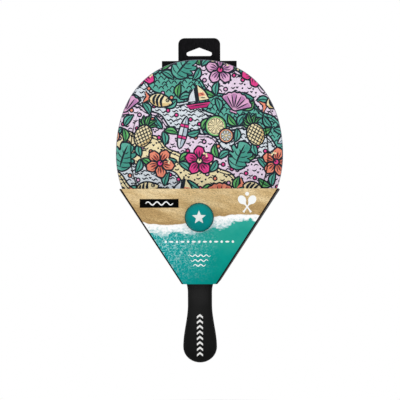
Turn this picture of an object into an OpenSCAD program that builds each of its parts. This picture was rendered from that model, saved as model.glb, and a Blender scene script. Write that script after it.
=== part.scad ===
// Beach game paddle in its hang pack: a padded paddle with a soft grip, a ball and a folded card sleeve.
// The pack hangs from the peg slot in its card. +Z is up, the printed front faces -Y, and the origin is
// where the peg bears, at the top of the slot, midway through the hang card.

/* [Blade] */
// Length from the top of the blade to the butt of the grip
paddle_len = 381; // [366:1:411]
// Width of the blade over its covers
blade_w = 209.5; // [200:0.5:215]
// Depth of the widest line below the top of the blade
crown_h = 120; // [112:0.5:124]
// Squareness of the crown, where 2 is an ellipse
crown_power = 2.2; // [2:0.05:2.5]
// Half height of the ellipse that the flanks follow below the widest line
flank_h = 113; // [106:1:122]
// How far below the widest line the flank turns in to the shoulder
flank_run = 50; // [44:0.5:53]
// Radius of the shoulder
shoulder_r = 50; // [40:1:58]
// Slope of the taper from the shoulder to the neck, from the vertical
taper_deg = 36; // [35:0.1:38]
// Thickness of the blade over its covers
blade_t = 12; // [10:0.5:13]
// How far the round of the edge reaches in over the face
edge_round = 7; // [4:0.5:9]

/* [Core board] */
// Thickness of the core board
core_t = 6; // [4:0.5:7]
// How far the covers reach past the edge of the core board
core_inset = 3; // [2.5:0.1:4]
// Width of the tang inside the grip
tang_w = 20; // [14:0.5:22]
// Length of the tang below the blade
tang_len = 84; // [50:1:90]

/* [Edge seam] */
// Diameter of the corded seam that joins the covers
seam_d = 1; // [0.8:0.1:1.4]
// Depth of the groove that the seam lies in
seam_groove = 0.8; // [0.6:0.1:1]

/* [Grip] */
// Height of the covers' hem above the narrowest point of the neck
hem_rise = 39; // [32:1:50]
// Radius of the curve from the taper into the neck
neck_r = 40; // [32:1:50]
// Length of the straight neck, between that curve and the swell of the grip
neck_len = 15; // [4:1:20]
// Width of the grip at the neck
neck_w = 30.5; // [28:0.5:33]
// Width of the grip at the butt
butt_w = 42.5; // [38:0.5:43.5]
// Height of the rounded end of the butt
butt_h = 20; // [16:0.5:24]
// Thickness of the grip at its collar
collar_t = 14; // [13:0.5:16]
// Thickness of the grip at the neck
neck_t = 17; // [15:0.5:18]
// Thickness of the grip at the butt
butt_t = 19; // [18:0.5:22]
// Chamfer round the top of the collar
collar_chamfer = 1; // [0.5:0.1:1.5]

/* [Ball] */
// Diameter of the ball
ball_d = 35.5; // [34:0.5:40]
// Wall of the hollow ball
ball_wall = 3; // [2:0.5:5]
// Depth of the ball's centre below the top of the sleeve
ball_drop = 36; // [31:0.5:42]

/* [Sleeve] */
// Thickness of the sleeve's card
card_t = 0.6; // [0.4:0.1:0.8]
// Slope of the sleeve's sides, from the vertical
sleeve_deg = 32.9; // [32:0.1:34]
// Height of the sleeve's front panel
sleeve_h = 119.6; // [112:0.1:122]
// How far the sleeve reaches above the blade's shoulders
sleeve_lip = 14.3; // [10:0.1:18]
// How far each side leans out from front to back at its upper end
flare = 2.2; // [1.5:0.1:3]
// How far each side leans out from front to back at its lower end
flare_low = 1.2; // [0.8:0.1:2.4]
// How much shorter the sides are at the back of their lower end
side_cut = 6; // [3:0.5:9]
// Width of the glue flap
flap_w = 10; // [8:0.5:11]

/* [Hang card] */
// Thickness of the hang card
hang_t = 0.8; // [0.6:0.1:1.2]
// Width of the hang card behind the blade
hang_w = 94.5; // [80:0.5:98]
// Gap between the hang card's lower corners and the glue flap
hang_clear = 1; // [0.5:0.5:5]
// Width of the hang tab
tab_w = 53; // [46:0.5:60]
// Height of the hang tab above the card's shoulders
tab_h = 28.8; // [26:0.1:34]
// Radius of the tab's corners
tab_r = 8; // [4:0.5:12]
// Card left above the peg slot
slot_margin = 12.2; // [10:0.1:13.5]
// Width of the peg slot
slot_w = 32; // [30:0.5:36]
// Height of the peg slot at its peak
slot_h = 10.4; // [9:0.1:12]
// Radius of the slot's ends
slot_r = 2.6; // [2:0.1:3]
// Radius of the slot's peak
peak_r = 2; // [1:0.1:3]
// How far the blade stands above the card's shoulders
blade_over = 0.6; // [0:0.1:3]

/* [Fit] */
// Gap between the paddle and the pack, and between ball and card
fit = 0.3; // [0.2:0.05:0.4]
// Gap round the tang and between the seam and its groove
snug = 0.1; // [0.05:0.05:0.2]

/* [Hidden] */
$fn = 96;

// Numbers of steps round the curves
CROWN_STEPS = 18;
FLANK_STEPS = 5;
SHOULDER_STEPS = 6;
EDGE_STEPS = 6;
SEAM_SIDES = 6;
GRIP_SIDES = 36;
ARC_STEPS = 8;

// Levels along the depth, from the hang card forward
hang_front = -hang_t / 2;
back_inside = hang_t / 2;
paddle_mid = hang_front - fit - butt_t / 2;
ball_mid = paddle_mid - butt_t / 2 - fit - ball_d / 2;
front_inside = ball_mid + card_t / 2;

// Levels down the paddle, measured from the top of the blade
blade_top = slot_margin - tab_h + blade_over;
function level(v) = blade_top - v;

// Flank: an ellipse from the widest line down to the shoulder
flank_x = blade_w / 2 * sqrt(1 - pow(flank_run / flank_h, 2));
flank_v = crown_h + flank_run;
flank_deg = atan(pow(blade_w / 2 / flank_h, 2) * flank_run / flank_x);
function shoulder_at(deg) = [
    flank_x - shoulder_r * (cos(flank_deg) - cos(deg)),
    flank_v + shoulder_r * (sin(deg) - sin(flank_deg))
];

// Taper: a straight run that ends where the neck's curve begins
neck_tangent_x = neck_w / 2 + neck_r * (1 - cos(taper_deg));
taper_start = shoulder_at(taper_deg);
neck_tangent_v = taper_start[1] + (taper_start[0] - neck_tangent_x) / tan(taper_deg);
neck_v = neck_tangent_v + neck_r * sin(taper_deg);
hem_v = neck_v - hem_rise;
swell_v = neck_v + neck_len;
butt_v = paddle_len - butt_h;
function taper_x(v) = neck_tangent_x + (neck_tangent_v - v) * tan(taper_deg);

// Seam: its line lies where the cord clears the groove's walls, which lean at 45 degrees
seam_inset = seam_groove - (seam_d / 2 + snug) / sin(45);
seam_proud = seam_d / 2 - seam_inset;

// Sleeve: each side is set off from the blade's shoulder by the seam, the fit and the card
seat = shoulder_at(sleeve_deg);
side_normal = [cos(sleeve_deg), sin(sleeve_deg)];
paddle_share = (paddle_mid - front_inside) / (back_inside - front_inside);
front_reach = seat * side_normal + seam_proud + fit + card_t - flare * paddle_share;
sleeve_top_v = seat[1] - sleeve_lip;
sleeve_bottom_v = sleeve_top_v + sleeve_h;
function front_x(v) = (front_reach - v * side_normal[1]) / side_normal[0];

// Outline of the blade

function unit(p) = p / norm(p);

// A station is [point, direction that an inset moves it by], each as [across, down].
function crown_station(deg) =
    let (power = 2 / crown_power,
         across = pow(cos(deg), power),
         up = pow(sin(deg), power))
    [[blade_w / 2 * across, crown_h * (1 - up)],
     unit([pow(across, crown_power - 1) / (blade_w / 2), -pow(up, crown_power - 1) / crown_h])];

function flank_station(run) =
    let (across = blade_w / 2 * sqrt(1 - pow(run / flank_h, 2)))
    [[across, crown_h + run],
     unit([across / pow(blade_w / 2, 2), run / pow(flank_h, 2)])];

function shoulder_station(deg) = [shoulder_at(deg), [cos(deg), sin(deg)]];

// The last station slides along the cut end, so that every inset ends on the same line.
function end_station(v) = [[taper_x(v), v], [1 / cos(taper_deg), 0]];

function right_side(end_v) = concat(
    [for (i = [0:CROWN_STEPS - 1]) crown_station(90 - 90 * i / CROWN_STEPS)],
    [for (i = [0:FLANK_STEPS - 1]) flank_station(flank_run * i / FLANK_STEPS)],
    [for (i = [0:SHOULDER_STEPS])
        shoulder_station(flank_deg + (taper_deg - flank_deg) * i / SHOULDER_STEPS)],
    [end_station(end_v)]);

function flipped(station) = [for (part = station) [-part[0], part[1]]];

// All stations in order, from the right end over the crown to the left end
function outline(end_v) =
    let (right = right_side(end_v), last = len(right) - 1)
    concat([for (i = [last:-1:0]) right[i]], [for (i = [1:last]) flipped(right[i])]);

function inset_point(station, inset) = station[0] - inset * station[1];
function flat_outline(end_v, inset) =
    [for (s = outline(end_v)) let (p = inset_point(s, inset)) [p[0], level(p[1])]];

// Shared shapes

// A flat plate in the front view, from depth y_back forward by t
module plate(y_back, t) {
    translate([0, y_back, 0]) rotate([90, 0, 0]) linear_extrude(t) children();
}

function arc(centre, r, from, to) =
    [for (i = [0:ARC_STEPS]) let (a = from + (to - from) * i / ARC_STEPS)
        centre + r * [cos(a), sin(a)]];

function mirrored(points) = [for (i = [len(points) - 1:-1:0]) [-points[i][0], points[i][1]]];

// Closed rings of equal length joined by quads, with ring i as points i * n to i * n + n - 1
function ring_quads(rings, n) =
    [for (i = [0:rings - 2], k = [0:n - 1])
        let (a = i * n + k, b = i * n + (k + 1) % n)
        each [[a, b, b + n], [a, b + n, a + n]]];

// Paddle

// Board of the blade with a tang that runs down inside the grip
module paddle_core() {
    color("burlywood") union() {
        plate(paddle_mid + core_t / 2, core_t)
            polygon(flat_outline(hem_v, core_inset));
        plate(paddle_mid + core_t / 2, core_t)
            translate([-tang_w / 2, level(hem_v + tang_len)])
                square([tang_w, tang_len + core_inset]);
    }
}

// [inset, depth] of the cover's skin, from the pocket's rim past the seam's groove and round the edge
function cover_skin() = concat(
    [[core_inset, 0], [seam_groove, 0], [0, seam_groove]],
    [for (i = [1:EDGE_STEPS]) let (a = 90 * i / EDGE_STEPS)
        [edge_round * (1 - cos(a)), max(blade_t / 2 * sin(a), seam_groove + i * snug)]]);

// One moulded cover: a sheet over the core's face, wrapped round its edge to the middle.
// The pocket that takes the core is open at the hem. facing is -1 for the front cover and 1 for the rear.
module cover(facing) {
    stations = outline(hem_v);
    n = len(stations);
    rows = concat([[core_inset, core_t / 2]], cover_skin());
    last = len(rows) - 1;
    points = [for (row = rows, s = stations)
        let (p = inset_point(s, row[0])) [p[0], paddle_mid + facing * row[1], level(p[1])]];
    skin = [for (i = [0:last - 1], k = [0:n - 2])
        let (a = i * n + k) each [[a, a + 1, a + n + 1], [a, a + n + 1, a + n]]];
    face = [for (k = [0:n - 1]) last * n + k];
    pocket = [for (k = [n - 1:-1:0]) k];
    hem_right = [for (i = [1:last - 1]) [0, i * n, i * n + n]];
    hem_left = [for (i = [1:last - 1]) [n - 1, i * n + 2 * n - 1, i * n + n - 1]];
    hem_middle = [[0, last * n, last * n + n - 1, n - 1]];
    faces = concat(skin, [face, pocket], hem_right, hem_left, hem_middle);
    polyhedron(points, facing < 0 ? [for (f = faces) [for (k = [len(f) - 1:-1:0]) f[k]]] : faces);
}

module front_cover() {
    color("plum") cover(-1);
}

module rear_cover() {
    color("plum") cover(1);
}

// Corded seam in the groove between the covers, from one end of the hem round to the other
module edge_seam() {
    stations = outline(hem_v);
    n = len(stations);
    points = [for (s = stations, k = [0:SEAM_SIDES - 1])
        let (a = 360 * k / SEAM_SIDES, p = inset_point(s, seam_inset + seam_d / 2 * cos(a)))
        [p[0], paddle_mid + seam_d / 2 * sin(a), level(p[1])]];
    ends = [[for (k = [SEAM_SIDES - 1:-1:0]) k], [for (k = [0:SEAM_SIDES - 1]) (n - 1) * SEAM_SIDES + k]];
    color("slategray") polyhedron(points, concat(ring_quads(n, SEAM_SIDES), ends));
}

// Grip

function ease(t) = let (u = min(1, max(0, t))) u * u * (3 - 2 * u);
function mix(a, b, t) = a + (b - a) * t;

// Half width of the grip at each level: the taper, the neck's curve, the swell and the rounded butt
function grip_half_w(v) =
    v < neck_tangent_v ? taper_x(v)
    : v < neck_v ? neck_w / 2 + neck_r - sqrt(neck_r * neck_r - pow(neck_v - v, 2))
    : v < butt_v ? mix(neck_w, butt_w, ease((v - swell_v) / (butt_v - swell_v))) / 2
    : butt_w / 2 * sqrt(max(0, 1 - pow((v - butt_v) / butt_h, 2)));

function grip_half_t(v) =
    v < neck_v ? mix(collar_t, neck_t, ease((v - hem_v) / hem_rise)) / 2
    : v < butt_v ? mix(neck_t, butt_t, ease((v - swell_v) / (butt_v - swell_v))) / 2
    : butt_t / 2 * sqrt(max(0, 1 - pow((v - butt_v) / butt_h, 2)));

// Squareness of the section: a slab at the collar, an oval in the hand
function grip_power(v) = mix(5, 2.5, ease((v - hem_v) / hem_rise));

function power_of(x, power) = sign(x) * pow(abs(x), power);
function grip_ring(v, inset) =
    let (power = 2 / grip_power(v), w = grip_half_w(v) - inset, t = grip_half_t(v) - inset)
    [for (k = [0:GRIP_SIDES - 1]) let (a = 360 * k / GRIP_SIDES)
        [w * power_of(cos(a), power), paddle_mid + t * power_of(sin(a), power), level(v)]];

collar_v = hem_v + fit;
GRIP_NECK_STEPS = 8;
GRIP_SWELL_STEPS = 10;
GRIP_BUTT_DEGS = [0, 15, 30, 45, 58, 70, 80];

// Moulded soft grip with a socket for the tang
module grip() {
    rings = concat(
        [grip_ring(collar_v, collar_chamfer)],
        [for (i = [0:GRIP_NECK_STEPS])
            grip_ring(mix(collar_v + collar_chamfer, neck_v, i / GRIP_NECK_STEPS), 0)],
        [for (i = [1:GRIP_SWELL_STEPS - 1]) grip_ring(mix(neck_v, butt_v, i / GRIP_SWELL_STEPS), 0)],
        [for (a = GRIP_BUTT_DEGS) grip_ring(butt_v + butt_h * sin(a), 0)]);
    n = GRIP_SIDES;
    last = len(rings) - 1;
    points = concat([for (ring = rings) each ring], [[0, paddle_mid, level(paddle_len)]]);
    tip = (last + 1) * n;
    butt_fan = [for (k = [0:n - 1]) [last * n + k, last * n + (k + 1) % n, tip]];
    collar_face = [for (k = [n - 1:-1:0]) k];
    socket = [tang_w + 2 * snug, core_t + 2 * snug, tang_len + snug];
    color("dimgray") difference() {
        polyhedron(points, concat(ring_quads(last + 1, n), butt_fan, [collar_face]));
        translate([-socket[0] / 2, paddle_mid - socket[1] / 2, level(hem_v) - socket[2]]) cube(socket);
    }
}

// Ball

// Half of a hollow moulded ball, bonded at the seam round its middle
module ball_half(facing) {
    translate([0, ball_mid, level(sleeve_top_v + ball_drop)]) intersection() {
        difference() {
            sphere(d = ball_d);
            sphere(d = ball_d - 2 * ball_wall);
        }
        translate([-ball_d, facing < 0 ? -ball_d : 0, -ball_d]) cube([2 * ball_d, ball_d, 2 * ball_d]);
    }
}

module ball_front_half() {
    color("teal") ball_half(-1);
}

module ball_rear_half() {
    color("teal") ball_half(1);
}

// Card sleeve

// Corners of a side's outer face in the front view, as [across, level]
side_along = [sin(sleeve_deg), cos(sleeve_deg)];
side_out = [cos(sleeve_deg), -sin(sleeve_deg)];
front_top = [front_x(sleeve_top_v), level(sleeve_top_v)];
front_bottom = [front_x(sleeve_bottom_v), level(sleeve_bottom_v)];
back_top = front_top + flare * side_out;
back_bottom = front_bottom + flare_low * side_out + side_cut * side_along;

// Front panel with the round hole that holds the ball
module sleeve_front_panel() {
    color("turquoise") plate(front_inside, card_t) difference() {
        polygon(concat([front_top, front_bottom], mirrored([front_top, front_bottom])));
        translate([0, level(sleeve_top_v + ball_drop)]) circle(d = ball_d + 2 * fit);
    }
}

// One side, folded back from the front panel and leaning out. hand is 1 for the right and -1 for the left.
module sleeve_side(hand) {
    inner = -card_t * side_out;
    corners = [
        [front_top, front_inside], [front_bottom, front_inside],
        [back_bottom, back_inside], [back_top, back_inside]
    ];
    points = concat(
        [for (c = corners) [hand * c[0][0], c[1], c[0][1]]],
        [for (c = corners) let (p = c[0] + inner) [hand * p[0], c[1], p[1]]]);
    quads = [[3, 0, 1, 2], [4, 7, 6, 5], [1, 0, 4, 5], [2, 1, 5, 6], [3, 2, 6, 7], [0, 3, 7, 4]];
    faces = [for (q = quads) each [[q[0], q[1], q[2]], [q[0], q[2], q[3]]]];
    polyhedron(points, hand > 0 ? [for (f = faces) [f[2], f[1], f[0]]] : faces);
}

module sleeve_left_side() {
    color("black") sleeve_side(-1);
}

module sleeve_right_side() {
    color("black") sleeve_side(1);
}

// Back panel, which the hang card and the glue flap are stuck to
module sleeve_back_panel() {
    color("black") plate(back_inside + card_t, card_t)
        polygon(concat([back_top, back_bottom], mirrored([back_top, back_bottom])));
}

// Flap on the left side, turned in against the back panel, with mitred ends
module sleeve_glue_flap() {
    root_in = (card_t + snug) * side_out;
    tip_in = root_in + flap_w * side_out;
    mitre = flap_w * side_along;
    strip = [back_top - root_in, back_bottom - root_in, back_bottom - tip_in + mitre, back_top - tip_in - mitre];
    color("black") plate(back_inside, card_t) polygon(mirrored(strip));
}

// Hang card

// The card reaches down into the sleeve to where the glue flap would meet its lower corners.
shoulder_level = slot_margin - tab_h;
flap_reach = front_reach + min(flare, flare_low) - card_t - snug - flap_w;
hang_bottom = level((flap_reach - (hang_w / 2 + hang_clear) * side_normal[0]) / side_normal[1]);

// Right half of the peg slot: a peaked top, a round end and a flat bottom
function slot_half() =
    let (end = [slot_w / 2 - slot_r, slot_r - slot_h],
         peak = [0, -peak_r],
         run = end - peak,
         lean = atan2(-run[1], run[0]),
         slip = asin((peak_r - slot_r) / norm(run)),
         tangent = 90 - lean + slip)
    concat(arc(peak, peak_r, 90, tangent), arc(end, slot_r, tangent, -90));

module hang_card() {
    corner = [tab_w / 2 - tab_r, slot_margin - tab_r];
    half = concat(
        arc(corner, tab_r, 90, 0),
        [[tab_w / 2, shoulder_level], [hang_w / 2, shoulder_level], [hang_w / 2, hang_bottom]]);
    slot = slot_half();
    color("black") plate(hang_t / 2, hang_t) difference() {
        polygon(concat(half, mirrored(half)));
        polygon(concat(slot, mirrored([for (i = [1:len(slot) - 1]) slot[i]])));
    }
}

paddle_core();
front_cover();
rear_cover();
edge_seam();
grip();
ball_front_half();
ball_rear_half();
sleeve_front_panel();
sleeve_left_side();
sleeve_right_side();
sleeve_back_panel();
sleeve_glue_flap();
hang_card();
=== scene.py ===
import math

import bpy
import numpy as np
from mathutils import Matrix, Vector
from mathutils.geometry import delaunay_2d_cdt


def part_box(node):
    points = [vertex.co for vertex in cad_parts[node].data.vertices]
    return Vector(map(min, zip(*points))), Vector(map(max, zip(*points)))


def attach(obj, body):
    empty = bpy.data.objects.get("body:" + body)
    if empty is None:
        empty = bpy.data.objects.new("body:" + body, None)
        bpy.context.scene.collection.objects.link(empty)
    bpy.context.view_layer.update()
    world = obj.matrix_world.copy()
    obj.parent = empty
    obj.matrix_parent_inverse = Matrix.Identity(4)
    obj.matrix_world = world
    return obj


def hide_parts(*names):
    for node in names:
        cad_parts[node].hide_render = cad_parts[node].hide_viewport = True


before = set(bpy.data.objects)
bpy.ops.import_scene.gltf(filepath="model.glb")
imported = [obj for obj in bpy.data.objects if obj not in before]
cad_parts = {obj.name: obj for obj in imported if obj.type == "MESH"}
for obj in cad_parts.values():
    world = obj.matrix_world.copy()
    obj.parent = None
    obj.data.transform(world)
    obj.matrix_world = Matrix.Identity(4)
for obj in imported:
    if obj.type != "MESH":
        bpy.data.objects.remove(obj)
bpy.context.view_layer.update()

# Blade board
# A plywood board with a tang that runs down into the grip. It is closed in by the covers and the grip,
# so only its sanded faces and the plies along its edge would show on a paddle taken apart.
MM = 0.001


def srgb(red, green, blue):
    """A colour given in 0 to 255 as seen on screen, in Blender's linear values."""
    linear = [c / 255 / 12.92 if c <= 10 else ((c / 255 + 0.055) / 1.055) ** 2.4 for c in (red, green, blue)]
    return (*linear, 1.0)


def add_node(tree, kind, inputs=None, **settings):
    """One shader node: settings are its properties, inputs its sockets' values or the fields that feed them."""
    made = tree.nodes.new("ShaderNode" + kind)
    for key, value in settings.items():
        setattr(made, key, value)
    for key, value in (inputs or {}).items():
        if isinstance(value, Field):
            tree.links.new(value.socket, made.inputs[key])
        else:
            made.inputs[key].default_value = value
    return made


class Field:
    """What a shader node gives at each place of a surface. Sums on it add nodes to the same tree."""

    def __init__(self, node, output=0):
        self.node, self.tree, self.socket = node, node.id_data, node.outputs[output]

    def step(self, operation, *values):
        return Field(add_node(self.tree, "Math", dict(enumerate((self, *values))), operation=operation))

    def __add__(self, value):
        return self.step("ADD", value)

    def __sub__(self, value):
        return self.step("SUBTRACT", value)

    def __rsub__(self, value):
        return self * -1.0 + value

    def __mul__(self, value):
        return self.step("MULTIPLY", value)

    def __truediv__(self, value):
        return self.step("DIVIDE", value)

    def __abs__(self):
        return self.step("ABSOLUTE")

    def held(self):
        """The same, held between 0 and 1."""
        self.node.use_clamp = True
        return self


def start_material(name, **constants):
    """A material whose shader has these constants, and the field of places on its object."""
    material = bpy.data.materials.new(name)
    material.use_nodes = True
    shader = material.node_tree.nodes["Principled BSDF"]
    for key, value in constants.items():
        shader.inputs[key.replace("_", " ")].default_value = value
    return material, Field(add_node(material.node_tree, "TexCoord"), "Object")


def dress(material, relief=None, **fields):
    """Feeds fields to a material's shader. A relief is a height, its strength and its depth in millimetres."""
    tree = material.node_tree
    if relief:
        height, strength, depth = relief
        bump = {"Height": height, "Strength": strength, "Distance": depth * MM}
        fields["Normal"] = Field(add_node(tree, "Bump", bump))
    for key, field in fields.items():
        tree.links.new(field.socket, tree.nodes["Principled BSDF"].inputs[key.replace("_", " ")])


def color_ramp(factor, *stops):
    """Colours along a field, through stops of a position and a colour."""
    ramp = add_node(factor.tree, "ValToRGB", {"Fac": factor})
    elements = ramp.color_ramp.elements
    while len(elements) < len(stops):
        elements.new(1.0)
    for element, (position, *color) in zip(elements, stops):
        element.position = position
        element.color = srgb(*color)
    return Field(ramp)


def mapped(place, **settings):
    return Field(add_node(place.tree, "Mapping", {"Vector": place, **settings}))


def noise(place, scale, detail=2.0, stretch=None):
    """Soft noise about 0.5, which may be finer along some axes."""
    place = mapped(place, Scale=stretch) if stretch else place
    return Field(add_node(place.tree, "TexNoise", {"Vector": place, "Scale": scale, "Detail": detail}))


def recoat(node, material):
    """Gives its finish to a CAD node that stays."""
    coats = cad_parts[node].data.materials
    coats.clear()
    coats.append(material)


plywood, place = start_material("plywood", Roughness=0.7, Specular_IOR_Level=0.3)
grain = noise(place, 1.0, 6.0, (140, 900, 9))
dress(plywood, (grain, 0.25, 0.4), Base_Color=color_ramp(grain, (0.3, 176, 132, 84), (0.7, 224, 190, 142)))
recoat("paddle_core", plywood)

# Printed covers
# Two sheets of foam-backed knit, one on each face of the board, wrapped round its edge to the corded seam.
# The all-over print is a part of the cloth: flat inks with dark outlines, on bands of pale ground.


def extent(node):
    """A CAD node's lowest and highest corners, in millimetres."""
    return [np.array(corner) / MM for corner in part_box(node)]


(_, _, hem_level), (blade_half_w, _, blade_top) = extent("front_cover")
(_, blade_mid, _), (_, blade_back, _) = extent("rear_cover")
board_low, board_high = extent("paddle_core")
blade_half_t = blade_back - blade_mid
board_half_t = (board_high[1] - board_low[1]) / 2
cover_reach = blade_half_w - board_high[0]
crown_h = 120.0
crown_power = 2.2
flank_h = 113.0
flank_run = 50.0
shoulder_r = 50.0
taper = math.radians(36)
edge_round = 7.0
seam_groove = 0.8


def blade_stations(crown_steps=56, flank_steps=8, shoulder_steps=10, taper_steps=6):
    """The blade's edge from the right end of the hem over the crown to the left end: points and outward normals."""
    points, normals = [], []
    for turn in np.linspace(math.pi / 2, 0, crown_steps, endpoint=False):
        across, up = math.cos(turn) ** (2 / crown_power), math.sin(turn) ** (2 / crown_power)
        points.append((blade_half_w * across, blade_top - crown_h * (1 - up)))
        normals.append((across ** (crown_power - 1) / blade_half_w, up ** (crown_power - 1) / crown_h))
    for run in np.linspace(0, flank_run, flank_steps, endpoint=False):
        across = blade_half_w * math.sqrt(1 - (run / flank_h) ** 2)
        points.append((across, blade_top - crown_h - run))
        normals.append((across / blade_half_w**2, -run / flank_h**2))
    flank_x = blade_half_w * math.sqrt(1 - (flank_run / flank_h) ** 2)
    flank_turn = math.atan((blade_half_w / flank_h) ** 2 * flank_run / flank_x)
    for turn in np.linspace(flank_turn, taper, shoulder_steps):
        points.append((
            flank_x - shoulder_r * (math.cos(flank_turn) - math.cos(turn)),
            blade_top - crown_h - flank_run - shoulder_r * (math.sin(turn) - math.sin(flank_turn)),
        ))
        normals.append((math.cos(turn), -math.sin(turn)))
    start_x, start_z = points[-1]
    for z in np.linspace(start_z, hem_level, taper_steps + 1)[1:]:
        points.append((start_x - (start_z - z) * math.tan(taper), z))
        normals.append((math.cos(taper), -math.sin(taper)))
    right, out = np.array(points), np.array(normals)
    out /= np.linalg.norm(out, axis=1)[:, None]
    out[-1] = (1 / math.cos(taper), 0)
    flip = np.array((-1, 1))
    return np.vstack((right[::-1], right[1:] * flip)), np.vstack((out[::-1], out[1:] * flip))


edge_points, edge_normals = blade_stations()

# The print's inks, by the names that the motifs use, and the darker ink that shades each of them
INKS = {
    "line": (31, 39, 49), "lilac": (233, 213, 233), "pale": (217, 225, 232), "cream": (240, 225, 180),
    "teal": (94, 173, 156), "deep": (70, 151, 135), "green": (106, 182, 108), "fern": (70, 150, 88),
    "coral": (236, 142, 116), "rust": (208, 106, 88), "pink": (224, 170, 207), "plum": (188, 130, 178),
    "magenta": (226, 66, 139), "rose": (186, 42, 112), "sand": (221, 194, 138), "mist": (178, 194, 208),
}
SHADES = {"pale": "mist", "cream": "sand", "teal": "deep", "green": "fern", "coral": "rust", "pink": "plum",
          "magenta": "rose"}
LINE_W, MARK_W, FINE_W = 2.1, 1.75, 1.35
art = []


def ink(points, color):
    """A flat patch of one ink."""
    art.append((np.asarray(points, float), color))


def grown(points, by):
    """A closed outline moved outwards along its normals."""
    points = np.asarray(points, float)
    along = np.roll(points, -1, 0) - np.roll(points, 1, 0)
    along /= np.maximum(np.linalg.norm(along, axis=1), 1e-9)[:, None]
    area = np.sum(points[:, 0] * np.roll(points[:, 1], -1) - np.roll(points[:, 0], -1) * points[:, 1])
    return points + by * math.copysign(1, area) * np.column_stack((along[:, 1], -along[:, 0]))


def outlined(points, color, width=LINE_W):
    """A patch with a dark outline, half of it on each side of the edge."""
    ink(grown(points, width / 2), "line")
    ink(grown(points, -width / 2), color)


def stroke(points, width=FINE_W, color="line", tips=0.25):
    """A brush stroke along a line, thinner towards its ends."""
    points = np.asarray(points, float)
    along = np.gradient(points, axis=0)
    along /= np.linalg.norm(along, axis=1)[:, None]
    share = np.linspace(0, 1, len(points))
    half = width / 2 * (tips + (1 - tips) * np.sin(math.pi * share) ** 0.6)
    side = np.column_stack((-along[:, 1], along[:, 0])) * half[:, None]
    ink(np.vstack((points + side, (points - side)[::-1])), color)


def oval(x, z, half_w, half_h=None, steps=20):
    turn = np.linspace(0, 2 * math.pi, steps, endpoint=False)
    return np.column_stack((x + half_w * np.cos(turn), z + (half_h or half_w) * np.sin(turn)))


def curve(start, end, bow=0.0, steps=7):
    """Points from start to end, bowed to the left by bow times the distance."""
    start, end = np.asarray(start, float), np.asarray(end, float)
    share = np.linspace(0, 1, steps)[:, None]
    left = np.array((start[1] - end[1], end[0] - start[0]))
    return start + (end - start) * share + left * bow * np.sin(math.pi * share)


def spindle(start, length, half_w, lead, blunt, steps, bow=0.0):
    """A long pointed shape: its middle line, and its half width as a step to the side."""
    share = np.linspace(0, 1, steps)
    half = half_w * np.sin(math.pi * share**lead) ** blunt
    return np.column_stack((start + length * share, bow * np.sin(math.pi * share))), np.column_stack((0 * half, half))


def closed(upper, lower):
    """An outline along one line and back along another that has the same ends."""
    return np.vstack((upper, lower[-2:0:-1]))


def placer(x, z, size, turn):
    """Puts a motif drawn about the origin, about 1 unit in radius, on the cloth."""
    c, s = math.cos(math.radians(turn)) * size, math.sin(math.radians(turn)) * size
    return lambda points: np.asarray(points, float) @ np.array(((c, s), (-s, c))) + (x, z)


def polar(radius, turn):
    return radius * np.array((math.cos(math.radians(turn)), math.sin(math.radians(turn))))


def leaf(at, root, turn, length, half_w, color):
    """A pointed leaf with one half in shade and a midrib."""
    spine, lift = spindle(0, length, half_w, 0.85, 0.9, 11, 0.12 * length)
    local = placer(*root, 1, turn)
    outlined(at(local(closed(spine + lift, spine - lift))), color)
    ink(at(local(np.vstack((spine[1:10], (spine - 0.6 * lift)[9:0:-1])))), SHADES[color])
    stroke(at(local(spine[:10])))


def flower(at, petal, heart):
    """A five-petalled blossom with a long stamen."""
    turn = np.linspace(0, 2 * math.pi, 22, endpoint=False)
    frill = 1 + 0.05 * np.sin(6 * turn)
    edge = np.column_stack((0.57 + 0.43 * np.cos(turn) * frill, 0.36 * np.sin(turn) * frill))
    throat = np.vstack((curve((0.15, -0.12), (0.7, 0), -0.14, 5), curve((0.7, 0), (0.15, 0.12), -0.14, 5)))
    for k in range(5):
        local = placer(0, 0, 1, 72 * k + 90)
        outlined(at(local(edge)), petal)
        ink(at(local(throat)), SHADES[petal])
        for lean in (-0.13, 0.0, 0.13):
            stroke(at(local(curve((0.24, lean * 0.4), (0.72, lean * 1.3), lean, 4))))
    outlined(at(oval(0, 0, 0.2)), heart)
    stroke(at(curve((0, 0), (0.42, 0.42), 0.2)), LINE_W, tips=0.8)
    for x, z in ((0.32, 0.5), (0.46, 0.46), (0.5, 0.32)):
        ink(at(oval(x, z, 0.07, steps=9)), "cream")


def citrus(at, rind, flesh):
    """A slice of fruit with eight wedges."""
    outlined(at(oval(0, 0, 0.95, steps=30)), rind)
    ink(at(oval(0, 0, 0.76, steps=28)), "cream")
    for k in range(8):
        wedge = [polar(0.14, 45 * k)] + [polar(0.68, 45 * k + t) for t in (-16, -10, 0, 10, 16)]
        outlined(at(wedge), flesh, FINE_W * 0.7)


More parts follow.
